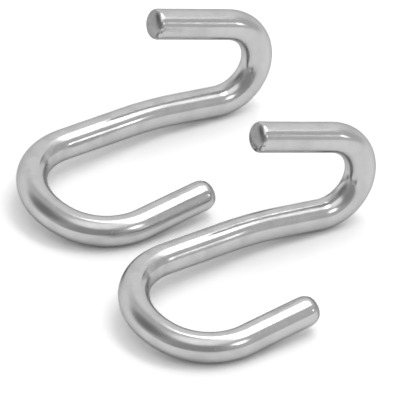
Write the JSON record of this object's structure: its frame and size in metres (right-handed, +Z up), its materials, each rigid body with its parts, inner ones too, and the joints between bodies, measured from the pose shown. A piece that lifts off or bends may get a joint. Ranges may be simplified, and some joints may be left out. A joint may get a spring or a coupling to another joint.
{
  "type": "meat hook",
  "caption": "S-shaped meat hooks of polished round bar, lying side by side; the tight upper hook is turned a quarter turn from the wide lower hook.",
  "frame": {"origin": "on the table, under the middle of the box around both hooks", "axes": "+Z up, +X along the shanks from the wide lower hooks to the tight upper hooks, +Y from the front hook to the rear hook"},
  "size_m": [0.1104, 0.1284, 0.0426],
  "materials": {
    "polished_stainless": "polished stainless steel bar, fine drawing lines, lightly sheared and rounded ends"
  },
  "bodies": {
    "rear": {"rear_hook": "polished_stainless"},
    "front": {"front_hook": "polished_stainless"}
  },
  "joints": [
    {"name": "front_lift_off", "type": "slide", "parent": "rear", "child": "front", "axis": [0, 0, 1], "range_m": [0, 0.12]}
  ]
}
